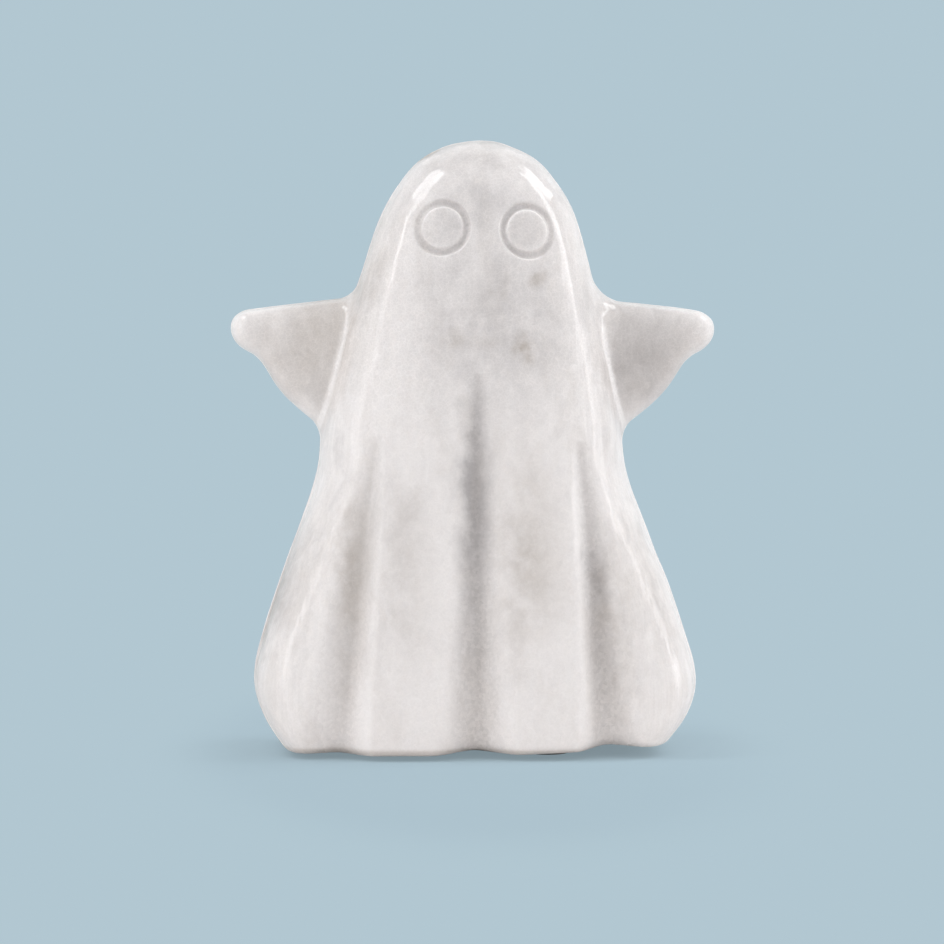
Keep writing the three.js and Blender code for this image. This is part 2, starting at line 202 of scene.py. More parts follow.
class Curve:
    """A smooth curve through stations (x, y) in rising order of x, which runs straight on beyond its ends."""

    def __init__(self, stations):
        self.x, self.y = np.array(stations, dtype=float).T
        gap = np.diff(self.x)
        secant = np.diff(self.y) / gap
        rows = np.eye(len(self.x))
        wanted = np.concatenate([secant[:1], np.zeros(len(gap) - 1), secant[-1:]])
        for i in range(1, len(gap)):
            rows[i, i - 1 : i + 2] = 1 / gap[i - 1], 2 / gap[i - 1] + 2 / gap[i], 1 / gap[i]
            wanted[i] = 3 * (secant[i - 1] / gap[i - 1] + secant[i] / gap[i])
        self.slope = np.linalg.solve(rows, wanted)

    def __call__(self, at):
        kept = np.clip(at, self.x[0], self.x[-1])
        i = np.clip(np.searchsorted(self.x, kept) - 1, 0, len(self.x) - 2)
        span = self.x[i + 1] - self.x[i]
        t = (kept - self.x[i]) / span
        rest = 1 - t
        value = self.y[i] * (1 + 2 * t) * rest**2 + self.y[i + 1] * (1 + 2 * rest) * t**2
        value = value + span * t * rest * (self.slope[i] * rest - self.slope[i + 1] * t)
        return value + (at - kept) * np.where(at > kept, self.slope[-1], self.slope[0])


def ease(value, start, end):
    """A smooth change from 0 at the start to 1 at the end."""
    t = np.clip((value - start) / (end - start), 0, 1)
    return t * t * (3 - 2 * t)


width_square = Curve([(height, (width * HALF_WIDTH) ** 2) for height, width, _ in BODY_STATIONS])
depth_square = Curve([(height, (depth * HALF_DEPTH) ** 2) for height, _, depth in BODY_STATIONS])
lean = Curve(BODY_LEAN)
arm_upper_edge = Curve(ARM_UPPER_EDGE)
arm_lower_edge = Curve(ARM_LOWER_EDGE)
HEM_HALF_WIDTH = BODY_STATIONS[0][1] * HALF_WIDTH
HEM_HALF_DEPTH = BODY_STATIONS[0][2] * HALF_DEPTH


def flute_growth(flute, height):
    """How far a flute has grown, from 0 at its top to 1 at the hem."""
    return (1 - np.clip(height / (flute["top"] * STONE_HEIGHT), 0, 1)) ** FLUTE_GROWTH


def in_flute(flute, x, height):
    """How far a place is towards a flute's valley, from 0 on its crests to 1."""
    up = np.clip(height / (flute["top"] * STONE_HEIGHT), 0, 1)
    aside = x - HALF_WIDTH * (flute["hem"] + (flute["peak"] - flute["hem"]) * up)
    grown = flute_growth(flute, height)
    widest = HALF_WIDTH * np.where(aside < 0, flute["left"], flute["right"])
    width = widest * (FLUTE_TOP_WIDTH + (1 - FLUTE_TOP_WIDTH) * grown)
    roundness = VALLEY_ROUND * (VALLEY_ROUND_AT_TOP + (1 - VALLEY_ROUND_AT_TOP) * grown)
    aside = np.hypot(aside, roundness) - roundness
    away = np.clip(aside / width, 0, 1)
    return (1 - away) ** 2 * (1 + away)


def flute_depth(x, height):
    """How deep the flutes are cut into the front and the back at a place in the front view."""
    depth = 0
    for flute in FLUTES:
        depth = depth + flute["depth"] * flute_growth(flute, height) * in_flute(flute, x, height)
    return HALF_DEPTH * depth


def flute_shade(x, height):
    """How grey the flutes' valleys are, partly grey veining and partly painted shade, less towards their
    tops.
    """
    shade = 0
    for flute in FLUTES:
        along = flute_growth(flute, height) ** SHADE_ALONG
        across = in_flute(flute, x, height) ** SHADE_ACROSS
        # Partly grey veining and partly painted shade in the valley.
        shade = shade + flute["shade"] * along * across
    return shade


def hem_lift(x, height):
    """How far the hem's edge stands off the ground, which is no longer felt higher up."""
    lift = HEM_LIFT_RIGHT * ease(x / HEM_HALF_WIDTH, HEM_LIFT_START, 1)
    for flute in FLUTES:
        lift = lift + flute["lift"] * in_flute(flute, x, 0)
    return lift * (1 - ease(height, 0, HEM_LIFT_FADE))


def section_power(height):
    """The power of the level section at a height."""
    share = height / STONE_HEIGHT
    power = HEM_POWER + (HEAD_POWER - HEM_POWER) * ease(share, 0, SQUARER_BELOW)
    return power + (CROWN_POWER - HEAD_POWER) * ease(share, CROWN_ABOVE, 1)


def section_reach(x, y, height):
    """How far out a place is in its level section, on the scale on which the outline is at the half depth."""
    share = np.clip(height / STONE_HEIGHT, 0, HIGHEST_SHARE)
    across = np.abs(x - HALF_WIDTH * lean(share)) * np.sqrt(depth_square(share) / width_square(share))
    deep = np.abs(y) + flute_depth(x, height)
    power = section_power(height)
    return (across**power + deep**power) ** (1 / power)


def body_field(points):
    """Below zero in the draped body and above zero outside it. The underside isn't in it."""
    x, y, z = points.T
    height = z - hem_lift(x, z)
    height = z - hem_lift(x, height)
    return section_reach(x, y, height) ** 2 - depth_square(height / STONE_HEIGHT)


def arm_place(points, arm):
    """Where points are in an arm: out from the middle, up its half height, and across its half thickness."""
    x, y, z = points.T
    out = arm["side"] * x
    share = np.maximum(out, ARM_ROOT) / ARM_TIP
    along = np.clip((out - ARM_ROOT) / (ARM_TIP - ARM_ROOT), 0, 1)
    upper = STONE_HEIGHT * arm_upper_edge(share)
    lower = STONE_HEIGHT * arm_lower_edge(share)
    thickness = ARM_ROOT_HALF_THICKNESS + (ARM_TIP_HALF_THICKNESS - ARM_ROOT_HALF_THICKNESS) * along
    up = (z - (upper + lower) / 2 - arm["rise"] * along) / ((upper - lower) / 2)
    return out, up, y / thickness


def arm_field(points, arm):
    """Below zero in an arm and above zero outside it."""
    out, up, across = arm_place(points, arm)
    power = np.where(up > 0, ARM_UPPER_POWER, ARM_LOWER_POWER)
    around = (np.abs(up) ** power + np.abs(across) ** power) ** (1 / power)
    closing = np.maximum(0, 1 - (ARM_TIP - out) / ARM_TIP_ROUND)
    whole = (around**ARM_TIP_POWER + closing**ARM_TIP_POWER) ** (1 / ARM_TIP_POWER) - 1
    return np.maximum(whole, 1 - out / ARM_INNER_END)


def steepness(field, points):
    """A field's values, and how fast they change along each axis."""
    value = field(points)
    changes = [(field(points + PROBE * axis) - value) / PROBE for axis in np.eye(3)]
    return value, np.stack(changes, axis=1)


def distance(field, points):
    """A field's value divided by its steepness, which near its surface is the distance from it."""
    value, change = steepness(field, points)
    return value / (np.linalg.norm(change, axis=1) + TINY)


def joined(a, b, radius):
    """The distance from two solids together, with a fillet of this radius along the corner between them."""
    corner = np.hypot(np.maximum(radius - a, 0), np.maximum(radius - b, 0))
    return np.maximum(radius, np.minimum(a, b)) - corner


def underside(x, y):
    """The height of the underside, which rises to the hem's edge where that is off the ground."""
    lift = hem_lift(x, np.zeros_like(x))
    inward = HEM_HALF_DEPTH - section_reach(x, y, np.zeros_like(x))
    margin = MARGIN + MARGIN_PER_LIFT * lift
    return lift * (1 - ease(inward, 0, margin))


def front_of_body(x, height):
    """The point of the body's front at a place in the front view, and the way out of the stone there."""
    y = -float(HALF_DEPTH)
    for _ in range(STEPS_TO_FRONT):
        value, change = steepness(body_field, np.array([[x, y, height]]))
        y -= value[0] / change[0][1]
    return np.array([x, y, height]), change[0] / np.linalg.norm(change[0])


def eye_on(side):
    """The middle of the ring eye on one side of the face, and the way out of the stone there."""
    return front_of_body(EYES_ASIDE + side * EYE_SPACING / 2, EYE_HEIGHT - side * RIGHT_EYE_DROP / 2)


EYES = [eye_on(-1), eye_on(1)]


def groove_place(points, eye):
    """How far outside a ring's middle line points are, how deep below the face, and how far up the ring."""
    centre, outward = eye
    offset = points - centre
    along = offset @ outward
    radial = np.linalg.norm(offset - along[:, None] * outward, axis=1)
    return radial - EYE_GROOVE_RADIUS, -along, offset[:, 2] / (radial + TINY)


def groove_distance(points, eye):
    """The distance from the ring-shaped slot of an eye, which is open outwards and rounded at its bottom."""
    aside, deep, _ = groove_place(points, eye)
    beside = np.abs(aside) - (EYE_GROOVE_WIDTH / 2 - EYE_GROOVE_ROUND)
    below = deep - (EYE_GROOVE_DEPTH - EYE_GROOVE_ROUND)
    outside = np.hypot(np.maximum(beside, 0), np.maximum(below, 0))
    return outside + np.minimum(np.maximum(beside, below), 0) - EYE_GROOVE_ROUND


def groove_shade(points):
    """Painted shade in the eyes' grooves, most at the bottoms, grey on the discs, painted highlights on
    up-facing edges.
    """
    shade = 0
    for eye in EYES:
        aside, deep, upward = groove_place(points, eye)
        beyond_edge = np.abs(aside) - EYE_GROOVE_WIDTH / 2
        inside = ease(EYE_SHADE_BLUR - beyond_edge, 0, 2 * EYE_SHADE_BLUR)
        inside = inside * ease(deep, EYE_SHADE_BELOW, EYE_GROOVE_DEPTH + EYE_SHADE_BLUR)
        # Painted shade inside the groove, darker still low on either side of the ring's lowest point.
        darker_low = 1 - ease(np.abs(upward - EYE_LOW_DARKENING_AT), 0, EYE_LOW_DARKENING_WIDTH)
        shade = shade + inside * (EYE_GROOVE_SHADE + EYE_LOW_DARKENING * darker_low)
        # Painted highlights on the groove's edges that face up, and a grey on the disc.
        at_edge = 1 - ease(np.abs(beyond_edge - EYE_EDGE_AT), 0, EYE_EDGE_WIDTH)
        at_edge = at_edge * (1 - ease(deep, *EYE_EDGE_DEPTH))
        facing_up = np.clip(EYE_EDGE_FACING - np.sign(aside) * upward, 0, 1)
        on_disc = 1 - ease(aside, *EYE_DISC_EDGE)
        shade = shade + EYE_DISC_SHADE * on_disc - EYE_EDGE_HIGHLIGHT * at_edge * facing_up
    return shade * (points[:, 1] < 0)


def arm_corner_highlight(points):
    """A painted highlight: how much lighter than grey the corners between the body and the arms are."""
    shade = 0
    body = distance(body_field, points)
    for arm in ARMS:
        blade = distance(lambda places: arm_field(places, arm), points)
        in_corner = 1 - ease(np.abs(blade - body), 0, ARM_CORNER_WIDTH)
        in_corner = in_corner * (1 - ease(np.abs(blade) + np.abs(body), *ARM_CORNER_REACH))
        # Painted highlight along the corner, kept as shade below zero.
        shade = shade - ARM_CORNER_HIGHLIGHT * in_corner * (arm["side"] * points[:, 0] > ARMS_FROM)
    return shade


class Waves:
    """A gentle unevenness: waves of one height in random directions, which can be drawn out upwards."""

    def __init__(self, seed, count, height, shortest, longest, drawn_out=1.0):
        random = np.random.default_rng(seed)
        directions = random.normal(size=(count, 3))
        directions /= np.linalg.norm(directions, axis=1, keepdims=True)
        lengths = random.uniform(shortest, longest, size=(count, 1))
        self.vectors = directions * [1, 1, 1 / drawn_out] * 2 * math.pi / lengths
        self.phases = random.uniform(0, 2 * math.pi, size=count)
        self.height = height

    def __call__(self, points):
        return self.height * np.sin(points @ self.vectors.T + self.phases).sum(axis=1)


# The unevenness of the surface, which begins above the hem's edge.
WAVES_BEGIN = (1, 8)
hand_waves = Waves(seed=7, count=14, height=0.03, shortest=9.0, longest=34.0)
polishing_streaks = Waves(seed=19, count=12, height=0.009, shortest=2.4, longest=7.0, drawn_out=12.0)


def with_arm(stone, points, arm):
    """The distance from the stone so far and an arm, with fillets all round where they meet."""
    _, up, _ = arm_place(points, arm)
    radius = ARM_FACE_FILLET + (arm["shoulder"] - ARM_FACE_FILLET) * ease(up, *FILLET_CHANGE)
    radius = radius + (ARMPIT_FILLET - ARM_FACE_FILLET) * ease(-up, *FILLET_CHANGE)
    arm_distance = distance(lambda places: arm_field(places, arm), points)
    return joined(stone, arm_distance, radius)


def stone_distance(points):
    """The distance from the whole stone's surface in millimetres, below zero inside."""
    x, y, z = points.T
    stone = distance(body_field, points)
    hem_side = ease(np.abs(x) / HEM_HALF_WIDTH, *HEM_SIDE)
    hem_radius = HEM_RADIUS + (HEM_SIDE_RADIUS - HEM_RADIUS) * hem_side
    stone = -joined(-stone, z - underside(x, y), hem_radius)
    for arm in ARMS:
        close = (arm["side"] * x > ARMS_FROM) & (np.abs(z - ARMS_HEIGHT) < ARMS_HALF_HEIGHT)
        stone[close] = with_arm(stone[close], points[close], arm)
    stone = stone + (hand_waves(points) + polishing_streaks(points)) * ease(z, *WAVES_BEGIN)
    close = (y < EYES_FRONT) & (np.abs(z - EYE_HEIGHT) < EYES_HALF_HEIGHT)
    for eye in EYES:
        stone[close] = -joined(-stone[close], groove_distance(points[close], eye), EYE_RIM_ROUND)
    return stone


def grid_points(start, step, counts):
    """The points of a grid, in an array with an axis for each of its three directions."""
    axes = [start[i] + step * np.arange(counts[i]) for i in range(3)]
    return np.stack(np.meshgrid(*axes, indexing="ij"), axis=-1)


def sample_stone():
    """The distances on a fine grid: exact near the surface, and of a coarse grid elsewhere."""
    block_size = BLOCK * GRID_STEP
    blocks = np.ceil(np.array(SAMPLED_BOX) / block_size).astype(int)
    start = np.array([-0.5, -0.5, 0]) * block_size * blocks + [0, 0, SAMPLED_FROM]
    coarse_start = start + GRID_STEP * (BLOCK - 1) / 2
    coarse = grid_points(coarse_start, block_size, blocks)
    values = stone_distance(coarse.reshape(-1, 3)).reshape(blocks)
    for axis in range(3):
        values = values.repeat(BLOCK, axis)
    points = grid_points(start, GRID_STEP, values.shape)
    near = np.abs(values) < NEAR
    values[near] = stone_distance(points[near])
    return values, start


def surface_net(values, start):
    """Points and four-sided faces of the surface where the values on the grid pass zero."""
    cell_counts = np.array(values.shape) - 1
    strides = np.array([cell_counts[1] * cell_counts[2], cell_counts[2], 1])
    crossings = []
    cells = []
    for axis in range(3):
        ends = [np.roll(values, -i, axis) for i in range(2)]
        crossed = (ends[0] < 0) != (ends[1] < 0)
        low = np.argwhere(crossed)
        share = ends[0][crossed] / (ends[0][crossed] - ends[1][crossed])
        crossings.append(low + share[:, None] * np.eye(3)[axis])
        b, c = np.eye(3, dtype=int)[[(axis + 1) % 3, (axis + 2) % 3]]
        around = [low, low - b, low - b - c, low - c]
        going_in = ends[0][crossed] > 0
        corners = np.stack([corner @ strides for corner in around], axis=1)
        corners[going_in] = corners[going_in][:, ::-1]
        cells.append(corners)
    corners = np.concatenate(cells)
    _, faces = np.unique(corners, return_inverse=True)
    faces = faces.reshape(-1, 4)
    places = np.repeat(np.concatenate(crossings), 4, axis=0)
    counts = np.bincount(faces.ravel())
    means = [np.bincount(faces.ravel(), weights=places[:, i]) / counts for i in range(3)]
    return start + GRID_STEP * np.stack(means, axis=1), faces


def put_on_surface(points, rounds):
    """The points moved onto the stone's surface, a little way at a time."""
    for _ in range(rounds):
        value, change = steepness(stone_distance, points)
        move = change * (value / (change**2).sum(axis=1))[:, None]
        length = np.linalg.norm(move, axis=1, keepdims=True)
        points = points - move * np.minimum(1, LONGEST_MOVE / (length + TINY))
    return points


def relaxed(points, edges, rounds):
    """The points moved half way to their neighbours' middle, which evens out the faces."""
    ends = np.concatenate([edges, edges[:, ::-1]])
    counts = np.bincount(ends[:, 0], minlength=len(points))[:, None]
    for _ in range(rounds):
        others = points[ends[:, 1]]
        sums = [np.bincount(ends[:, 0], weights=others[:, i], minlength=len(points)) for i in range(3)]
        points = points + 0.5 * (np.stack(sums, axis=1) / counts - points)
    return points


def refine_round_eyes(mesh, inner, outer):
    """Halves the edges in a ring zone round each eye."""
    work = bmesh.new()
    work.from_mesh(mesh)

    def in_zone(vertex):
        for centre, outward in EYES:
            offset = np.array(vertex.co) - centre
            along = offset @ outward
            radial = np.linalg.norm(offset - along * outward)
            if abs(along) < EYE_ZONE_DEPTH and inner < radial < outer:
                return True
        return False

    face = [vertex for vertex in work.verts if vertex.co.y < FACE_FRONT and vertex.co.z > FACE_BOTTOM]
    zone = {vertex for vertex in face if in_zone(vertex)}
    edges = [edge for edge in work.edges if edge.verts[0] in zone and edge.verts[1] in zone]
    bmesh.ops.subdivide_edges(work, edges=edges, cuts=1, use_grid_fill=True)
    work.to_mesh(mesh)
    work.free()


def mesh_points(mesh):
    points = np.empty(3 * len(mesh.vertices))
    mesh.vertices.foreach_get("co", points)
    return points.reshape(-1, 3)


def mesh_edges(mesh):
    edges = np.empty(2 * len(mesh.edges), dtype=np.int64)
    mesh.edges.foreach_get("vertices", edges)
    return edges.reshape(-1, 2)


def towards_sides(points):
    """How far points are towards the stone's two sides, from 0 at the middle to 1 at its outline."""
    share = np.clip(points[:, 2] / STONE_HEIGHT, 0, HIGHEST_SHARE)
    return np.abs(points[:, 0]) / np.sqrt(width_square(share))


def keep_values(mesh, name, values):
    """Keeps a value for each point of the mesh, for its material to read."""
    mesh.attributes.new(name, "FLOAT", "POINT").data.foreach_set("value", values)


def add_object(name, data):
    added = bpy.data.objects.new(name, data)
    bpy.context.collection.objects.link(added)
    return added


def keep_stone_values(mesh, points):
    """Keeps the stone's grey and painted shade and highlights, where its sides are and where its body is
    without the arms.
    """
    # Grey veining, painted shade in flutes and grooves, and painted highlights on eye edges and in arm
    # corners.
    shade = flute_shade(points[:, 0], points[:, 2]) + groove_shade(points) + arm_corner_highlight(points)
    out = towards_sides(points)
    in_band = (points[:, 2] > ARMS_BAND[0]) & (points[:, 2] < ARMS_BAND[1])
    keep_values(mesh, "shade", shade)
    keep_values(mesh, "sides", ease(out, *SIDES_BEGIN))
    keep_values(mesh, "body", 1 - ease(out, *ARMS_BEGIN) * in_band)


def carve_stone(material):
    """The stone as one smooth mesh, whose normals are those of the carved surface itself."""
    values, start = sample_stone()
    points, faces = surface_net(values, start)
    mesh = bpy.data.meshes.new("ghost_stone")
    mesh.from_pydata(points.tolist(), [], faces.tolist())
    for inner, outer in EYE_ZONES:
        refine_round_eyes(mesh, inner, outer)
    points = mesh_points(mesh)
    edges = mesh_edges(mesh)
    for _ in range(SMOOTHINGS):
        points = put_on_surface(relaxed(points, edges, rounds=2), rounds=1)
    points = put_on_surface(points, rounds=2)
    _, change = steepness(stone_distance, points)
    normals = change / np.linalg.norm(change, axis=1, keepdims=True)
    mesh.vertices.foreach_set("co", ((points + [0, 0, UNDERSIDE]) * MM).ravel())
    mesh.update()
    mesh.shade_smooth()
    mesh.normals_split_custom_set_from_vertices(normals.tolist())
    keep_stone_values(mesh, points)
    mesh.materials.append(material)
    return add_object("ghost_stone", mesh)


class Nodes:
    """Adds nodes to a tree. An input given as another node's output is linked, and any other is set."""

    def __init__(self, tree):
        self.tree = tree

    def add(self, kind, inputs=None, **settings):
        node = self.tree.nodes.new(kind)
        for name, value in settings.items():
            setattr(node, name, value)
        for name, value in (inputs or {}).items():
            if isinstance(value, bpy.types.NodeSocket):
                self.tree.links.new(value, node.inputs[name])
            else:
                node.inputs[name].default_value = value
        return node

    def noise(self, vector, scale, detail=3.0, roughness=0.5, output="Fac"):
        inputs = {"Vector": vector, "Scale": scale, "Detail": detail, "Roughness": roughness}
        return self.add("ShaderNodeTexNoise", inputs).outputs[output]

    def math(self, operation, a, b=0.0):
        return self.add("ShaderNodeMath", {0: a, 1: b}, operation=operation).outputs[0]

    def vector_math(self, operation, a, b):
        return self.add("ShaderNodeVectorMath", {0: a, 1: b}, operation=operation).outputs[0]

    def scaled(self, vector, factor):
        inputs = {0: vector, "Scale": factor}
        return self.add("ShaderNodeVectorMath", inputs, operation="SCALE").outputs[0]

    def spread(self, value, low, high, to_low=0.0, to_high=1.0):
        inputs = {"Value": value, "From Min": low, "From Max": high, "To Min": to_low, "To Max": to_high}
        return self.add("ShaderNodeMapRange", inputs, interpolation_type="SMOOTHSTEP").outputs[0]

    def mix(self, factor, a, b):
        inputs = {0: factor, 6: a, 7: b}
        return self.add("ShaderNodeMix", inputs, data_type="RGBA").outputs[2]

    def bump(self, height, depth, strength=1.0, normal=None):
        inputs = {"Height": height, "Distance": depth, "Strength": strength}
        if normal is not None:
            inputs["Normal"] = normal
        return self.add("ShaderNodeBump", inputs).outputs[0]


def attribute(nodes, name):
    """A value that is kept for each point of the mesh."""
    return nodes.add("ShaderNodeAttribute", attribute_name=name).outputs["Fac"]


def new_material(name):
    material = bpy.data.materials.new(name)
    material.use_nodes = True
    material.node_tree.nodes.clear()
    return material, Nodes(material.node_tree)


def finish_material(material, nodes, shader_inputs):
    shader = nodes.add("ShaderNodeBsdfPrincipled", shader_inputs)
    nodes.add("ShaderNodeOutputMaterial", {"Surface": shader.outputs[0]})
    return material


MARBLE_WHITE = (0.92, 0.892, 0.886, 1)
MARBLE_GREY = (0.50, 0.48, 0.485, 1)
MARBLE_BEIGE = (0.47, 0.415, 0.365, 1)
MARBLE_ROUGHNESS = (0.06, 0.1)

# The values that most of a noise lies between.
NOISE = (0.3, 0.7)

# Heights above the ground, in metres, between which the stone's look changes.
# Up to the second of these heights the grey thins towards the hem: painted light from below.
HEM_PAINTED_LIGHT_HEIGHTS = (0.004, 0.035)
HEM_EDGE_ENDS = (0.0021, 0.0034)
THREADS_GROW = (0.07, 0.1)
POLISH_DROPS = (0.130, 0.100)

# How far a cloud fades out, as a share of its half width.
CLOUD_REACH = 1.4

# Clouds in the stone, in millimetres: x, y and height of the middle, half width, half height, and how dense
# they are.
GREY_CLOUDS = [
    (2, -16, 141, 22, 14, 0.3),
    (2, 0, 152, 32, 11, 0.12),
    (2, -22, 135, 9, 7, 0.17),
    (-8, -24, 128.6, 7, 7, 0.2),
    (13, -24, 128, 7, 7, 0.2),
    (4, -24, 106, 25, 26, 0.36),
    (-0.5, -25, 63, 5, 25, 0.72),
    (-18, -28, 48, 5, 30, 0.15),
    (-49, -10, 36, 9, 34, 0.7),
    (30, -22, 42, 3.6, 7, 0.5),
    (26, -22, 47, 3, 4, 0.4),
    (33, -22, 35, 3, 8, 0.4),
    (43, -8, 96, 13, 16, 0.62),
    (10, 26, 110, 26, 20, 0.3),
    (-20, 28, 60, 24, 34, 0.3),
]
BEIGE_CLOUDS = [
    (16.5, -23, 116, 3.6, 3.2, 0.5),
    (2, 0, 152, 34, 11, 0.2),
    (-30, -6, 120, 15, 26, 0.44),
    (32, -6, 122, 12, 26, 0.16),
    (-10.5, -3, 146.5, 3, 2, 0.7),
    (6.6, -25, 114.7, 3.4, 4, 0.42),
    (11.5, -25, 100.5, 3, 3.6, 0.85),
    (13.6, -25, 97, 2.6, 4, 0.9),
    (-5.5, -26, 100.6, 3.6, 3, 0.75),
    (1, -26, 100.3, 9, 2.2, 0.15),
    (-41, -8, 98, 14, 15, 0.36),
    (43, -8, 96, 14, 16, 0.22),
    (-50, -8, 34, 9, 34, 0.35),
    (-30, -23, 40, 6, 32, 0.42),
    (33, -23, 38, 6, 26, 0.22),
    (-43, -18, 38, 9, 32, 0.2),
    (43, -18, 42, 9, 26, 0.2),
    (13, -28, 50, 9, 26, 0.4),
    (-16, -28, 45, 7, 24, 0.16),
    (37, -23, 22, 5, 16, 0.36),
    (25, 27, 35, 16, 22, 0.2),
]


def cloud_cover(nodes, place, clouds):
    """The placed clouds' density, added up."""
    cover = 0.0
    for x, y, height, half_width, half_height, density in clouds:
        centre = (x * MM, y * MM, (height + UNDERSIDE) * MM)
        offset = nodes.vector_math("SUBTRACT", place, centre)
        offset = nodes.vector_math("MULTIPLY", offset, (1, 1, half_width / half_height))
        away = nodes.add("ShaderNodeVectorMath", {0: offset}, operation="LENGTH").outputs["Value"]
        blot = nodes.spread(away, 0.0, CLOUD_REACH * half_width * MM, density, 0.0)
        cover = nodes.math("ADD", blot, cover)
    return cover


def weighted(nodes, *layers):
    """Layers added up, each with its own weight."""
    total = 0.0
    for layer, weight in layers:
        total = nodes.math("ADD", nodes.math("MULTIPLY", layer, weight), total)
    return total


def drifting(nodes, place, scale, reach):
    """The place moved about by soft noise."""
    drift = nodes.vector_math("SUBTRACT", nodes.noise(place, scale, 4, output="Color"), (0.5, 0.5, 0.5))
    return nodes.vector_math("ADD", place, nodes.scaled(drift, reach))


def threads(nodes, place, scale, width):
    """A net of fine light threads between the stone's crystals."""
    inputs = {"Vector": place, "Scale": scale}
    cells = nodes.add("ShaderNodeTexVoronoi", inputs, feature="DISTANCE_TO_EDGE")
    return nodes.spread(cells.outputs["Distance"], 0.0, width, 1, 0)


def hanging_streaks(nodes, warped, scale):
    """Streaks in the stone that are drawn out upwards."""
    hung = nodes.vector_math("MULTIPLY", warped, (1, 1, 0.2))
    return nodes.spread(nodes.noise(hung, scale, 5, 0.6), 0.42, 0.7)


def cloud_raggedness(nodes, place):
    """A factor round 1 that breaks the clouds up, less so on the arms."""
    less_on_arms = nodes.spread(attribute(nodes, "body"), 0, 1, 0.35, 1)
    uneven = nodes.spread(nodes.noise(place, 170, 5, 0.6), *NOISE, -0.4, 0.4)
    return nodes.math("ADD", nodes.math("MULTIPLY", uneven, less_on_arms), 1)


def grey_cover(nodes, place, warped, clouds, height, shade):
    """How grey the stone is: its clouds, noise and streaks, and the kept shade, much of it painted. Painted
    light pales the hem.
    """
    broad = nodes.spread(nodes.noise(warped, 30, 5, 0.55), 0.42, 0.72)
    middling = nodes.spread(nodes.noise(warped, 110, 5, 0.6), 0.42, 0.75)
    mottled = nodes.spread(nodes.noise(place, 330, 4, 0.65), 0.35, 0.7)
    streaks = hanging_streaks(nodes, warped, 190)
    on_sides = nodes.math("MULTIPLY", nodes.spread(streaks, 0, 1, 0.3, 1), attribute(nodes, "sides"))
    noises = weighted(nodes, (broad, 0.06), (middling, 0.06), (mottled, 0.03))
    grey = weighted(nodes, (clouds, 1), (noises, 1), (streaks, 0.11), (on_sides, 0.12), (shade, 0.72))
    # Less grey towards the hem: painted light from below.
    return nodes.math("MULTIPLY", grey, nodes.spread(height, *HEM_PAINTED_LIGHT_HEIGHTS, 0.4, 1))


def beige_cover(nodes, warped, clouds, height, shade):
    """How beige the stone is, which is more on the hem's edge."""
    streaks = hanging_streaks(nodes, warped, 120)
    hem_edge = nodes.spread(height, *HEM_EDGE_ENDS, 0.45, 0)
    return weighted(nodes, (clouds, 1), (streaks, 0.13), (shade, 0.25), (hem_edge, 1))


def fine_structure(nodes, place, height, shade):
    """A factor round 1 for the colour: crystals, threads between them, and scratches on the flanks."""
    curled = drifting(nodes, place, 900, 0.0009)
    crystals = nodes.add("ShaderNodeTexVoronoi", {"Vector": place, "Scale": 1250}).outputs["Color"]
    grain = nodes.spread(nodes.math("ADD", crystals, nodes.noise(place, 1900, 2, 0.6)), 0.3, 1.7, -1, 1)
    sparkle = nodes.math("MULTIPLY", grain, shade)
    scratches = nodes.noise(nodes.vector_math("MULTIPLY", place, (1, 1, 0.014)), 900, 3, 0.6)
    scratched = nodes.math("MULTIPLY", attribute(nodes, "sides"), attribute(nodes, "body"))
    scratches = nodes.math("MULTIPLY", nodes.spread(scratches, *NOISE, -1, 1), scratched)
    upper = nodes.spread(height, *THREADS_GROW, 0.4, 1)
    threads_small = nodes.math("MULTIPLY", threads(nodes, curled, 1150, 0.12), upper)
    threads_large = nodes.math("MULTIPLY", threads(nodes, curled, 520, 0.05), upper)
    shine = weighted(
        nodes, (threads_small, 0.075), (threads_large, 0.06), (grain, 0.02), (sparkle, 0.1), (scratches, 0.03)
    )
    return nodes.math("ADD", shine, 0.99)


def marble_colour(nodes, place, height, shade):
    """White stone under its grey and its beige."""
    warped = drifting(nodes, place, 70, 0.016)
    clouded = drifting(nodes, place, 170, 0.007)
    ragged = cloud_raggedness(nodes, place)
    grey_clouds = nodes.math("MULTIPLY", cloud_cover(nodes, clouded, GREY_CLOUDS), ragged)
    beige_clouds = nodes.math("MULTIPLY", cloud_cover(nodes, clouded, BEIGE_CLOUDS), ragged)
    grey = grey_cover(nodes, place, warped, grey_clouds, height, shade)
    beige = beige_cover(nodes, warped, beige_clouds, height, shade)
    colour = nodes.mix(nodes.math("MINIMUM", grey, 1), MARBLE_WHITE, MARBLE_GREY)
    colour = nodes.mix(nodes.math("MINIMUM", beige, 1), colour, MARBLE_BEIGE)
    return nodes.scaled(colour, fine_structure(nodes, place, height, shade))


def marble_roughness(nodes, place, below_head, shade):
    """The roughness, which is higher on the lower drape, and most on its front and back and in its cuts."""
    duller = nodes.math("MULTIPLY", below_head, attribute(nodes, "body"))
    away_from_sides = nodes.math("SUBTRACT", 1, attribute(nodes, "sides"))
    less_polished = nodes.math("MULTIPLY", below_head, away_from_sides)
    polish = nodes.spread(nodes.noise(place, 320, 3, 0.5), *NOISE, *MARBLE_ROUGHNESS)
    roughness = weighted(nodes, (polish, 1), (duller, 0.08), (less_polished, 0.15), (shade, 0.2))
    return nodes.math("MAXIMUM", roughness, MARBLE_ROUGHNESS[0])


